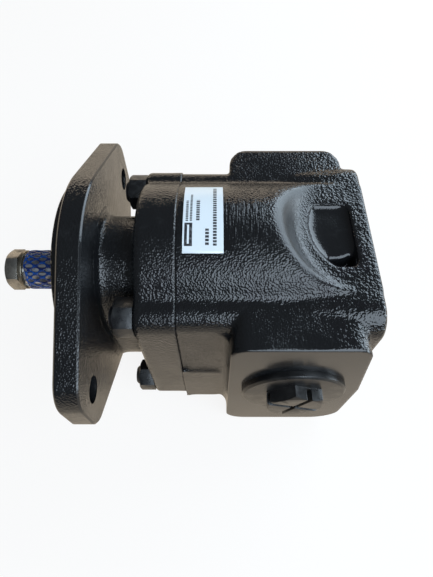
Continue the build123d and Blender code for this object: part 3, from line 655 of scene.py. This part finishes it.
def makeNet():
    low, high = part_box("shaft_net")
    rows = netShape["rows"]
    middle = ((low.x + high.x) / 2, 0, 0)
    bpy.ops.object.select_all(action="DESELECT")
    bpy.ops.mesh.primitive_cylinder_add(
        vertices=netShape["around"], radius=netShape["radius"], depth=high.x - low.x - netShape["strand"],
        end_fill_type="NOTHING", location=middle, rotation=(0, math.pi / 2, 0))
    net = bpy.context.object
    net.name = "net_sleeve"
    settle(net)
    for row in range(1, rows):
        intoEdit(net)
        bpy.ops.mesh.select_all(action="SELECT")
        cut = low.x + (high.x - low.x) * row / rows
        bpy.ops.mesh.bisect(plane_co=(cut, 0, 0), plane_no=(1, 0, 0))
        outOfEdit()
    intoEdit(net, "FACE")
    bpy.ops.mesh.select_all(action="SELECT")
    bpy.ops.mesh.poke()
    outOfEdit()
    ends = (low.x + netShape["strand"], high.x - netShape["strand"])
    runX, runYZ = netShape["slantRun"]
    pickEdges(net, lambda middle, along: ends[0] < middle.x < ends[1]
              and not (abs(along.x) > runX and along.yz.length > runYZ))
    bpy.ops.mesh.dissolve_edges(use_verts=False)
    outOfEdit()
    spread = random.Random(netShape["seed"])
    for vertex in net.data.vertices:
        if vertex.co.x < ends[0]:  # the cut end is uneven
            vertex.co.x += spread.uniform(0.0, netShape["fray"] * 2)
        out = netShape["radius"] / max(vertex.co.yz.length, 1e-6)
        vertex.co.y *= out
        vertex.co.z *= out
    applyModifier(
        net, "WIREFRAME", "strands", thickness=netShape["strand"], use_even_offset=False, use_boundary=True,
        use_replace=True)
    applyModifier(net, "SUBSURF", "round", levels=1, render_levels=1)
    pickOnly(net)
    bpy.ops.object.shade_smooth()
    return net


netLook = {"dark": (0.0, 0.012, 0.11), "light": (0.0, 0.075, 0.36)}


def netPaint():
    paint = Paint("net_blue")
    streaks = paint.noise(420.0, 2.0, 0.5, paint.stretched((0.3, 1.0, 1.0)))
    shade = paint.blend(paint.fade(streaks, 0.32, 0.70), rgb(*netLook["dark"]), rgb(*netLook["light"]))
    return paint.set(base=shade, rough=0.26 + 0.14 * streaks, normal=paint.bump(streaks, 0.00006)).material


netSleeve = makeNet()
finishPiece(netSleeve, "drive_shaft", "blue_net", netPaint(), "shaft_net")
print("shaft end done")

# port plugs
plugLook = {"colour": (0.0075, 0.0075, 0.0080), "scuff": (0.016, 0.0157, 0.0155), "edgeWidth": 0.00045}


def plugPaint():
    paint = Paint("plug_plastic_black")
    flow = paint.noise(180.0, 3.0, 0.55)
    fine = paint.noise(1600.0, 2.0)
    colour = paint.blend(paint.fade(flow, 0.45, 0.75), rgb(*plugLook["colour"]), rgb(*plugLook["scuff"]))
    dull = 0.27 + 0.10 * paint.fade(flow, 0.3, 0.7)
    return paint.set(base=colour, rough=dull, normal=paint.bump(fine, 0.00002)).material


plugMaterial = plugPaint()
for side in ("inlet", "outlet"):
    plug = copyOfNode(f"{side}_port_plug", f"{side}_cap_plug")
    roundEdges(plug, plugLook["edgeWidth"])
    smoothAt(plug, 40)
    finishPiece(plug, f"{side}_plug", "plug_plastic", plugMaterial, f"{side}_port_plug")
print("plugs done")

# label: generic bars only
labelLook = {
    "film": (0.84, 0.90, 0.94),
    "ink": (0.020, 0.020, 0.025),
    "rows": [
        # place across, its width, start and end along, dash length, all in shares of the label
        (0.10, 0.055, 0.37, 0.68, 0.030),
        (0.20, 0.050, 0.37, 0.80, 0.024),
        (0.37, 0.080, 0.37, 0.69, 0.034),
        (0.60, 0.085, 0.08, 0.27, 0.040),
        (0.79, 0.085, 0.08, 0.95, 0.036),
    ],
    "block": (0.045, 0.235, 0.075, 0.345),
    "window": (0.115, 0.160, 0.10, 0.32),
    "edgeWidth": 0.00004,
}


def labelPaint():
    paint = Paint("label_film_white")
    x, y, z = paint.axes()
    across = (x - labelLow.x) / (labelHigh.x - labelLow.x)
    along = (y - labelLow.y) / (labelHigh.y - labelLow.y)
    ink = None
    for place, width, start, end, dash in labelLook["rows"]:
        row = paint.band(across, place - width / 2, place + width / 2, 0.006)
        row = row * paint.band(along, start, end, 0.003)
        row = row * paint.band((along / dash).fraction(), 0.16, 0.80, 0.08)
        ink = row if ink is None else paint.higher(ink, row)
    boxes = []
    for low, high, start, end in (labelLook["block"], labelLook["window"]):
        boxes.append(paint.band(across, low, high, 0.004) * paint.band(along, start, end, 0.002))
    block, window = boxes
    ink = paint.higher(ink, block * (1.0 - window))
    worn = paint.fade(paint.noise(900.0, 2.0), 0.3, 0.5)
    colour = paint.blend(ink * (0.85 + 0.15 * worn), rgb(*labelLook["film"]), rgb(*labelLook["ink"]))
    waves = paint.bump(paint.noise(60.0, 2.0), 0.0002)
    return paint.set(base=colour, rough=0.25 + 0.2 * ink, normal=waves).material


labelPiece = copyOfNode("rating_label", "label_sheet")
roundEdges(labelPiece, labelLook["edgeWidth"], 1, 40)
smoothAt(labelPiece, 30)
finishPiece(labelPiece, "casing", "label_film", labelPaint(), "rating_label")
print("label done")


# inner parts and the finish of every node, also those that a piece stands for
def steelPaint(name, colour, rough, lines):
    paint = Paint(name)
    turned = paint.noise(1200.0, 2.0, 0.5, paint.stretched(lines))
    stains = paint.noise(90.0, 3.0)
    shade = paint.blend(paint.fade(stains, 0.4, 0.8), rgb(*colour), rgb(*colour, 0.72))
    fine = paint.bump(turned, 0.00002)
    return paint.set(base=shade, metal=1.0, rough=rough + 0.14 * turned, normal=fine).material


def rubberPaint(name, colour, rough):
    paint = Paint(name)
    bloom = paint.noise(220.0, 3.0, 0.6)
    shade = paint.blend(paint.fade(bloom, 0.4, 0.8), rgb(*colour), rgb(*colour, 1.7))
    fine = paint.bump(paint.noise(1500.0, 2.0), 0.00003)
    return paint.set(base=shade, rough=rough + 0.15 * bloom, normal=fine).material


slotPaints = {
    "hardened_steel": steelPaint("gear_steel", (0.60, 0.60, 0.61), 0.34, (6.0, 1.0, 1.0)),
    "bearing_block_alloy": steelPaint("block_alloy", (0.62, 0.63, 0.65), 0.3, (1.0, 4.0, 4.0)),
    "bush_metal": steelPaint("bush_bronze", (0.55, 0.40, 0.22), 0.28, (5.0, 1.0, 1.0)),
    "seal_rubber": rubberPaint("seal_rubber_black", (0.014, 0.014, 0.014), 0.5),
    "painted_casting": bodyPaint,
    "painted_fastener": studMaterial,
    "zinc_plate": zincMaterial,
    "blue_net": netSleeve.data.materials[0],
    "label_film": labelPiece.data.materials[0],
    "plug_plastic": plugMaterial,
}
for part in frame["record"]["subparts"]:
    node = nodes[part["node"]]
    node.data.materials.clear()
    node.data.materials.append(slotPaints[part["material_slot"]])
print("all nodes painted")
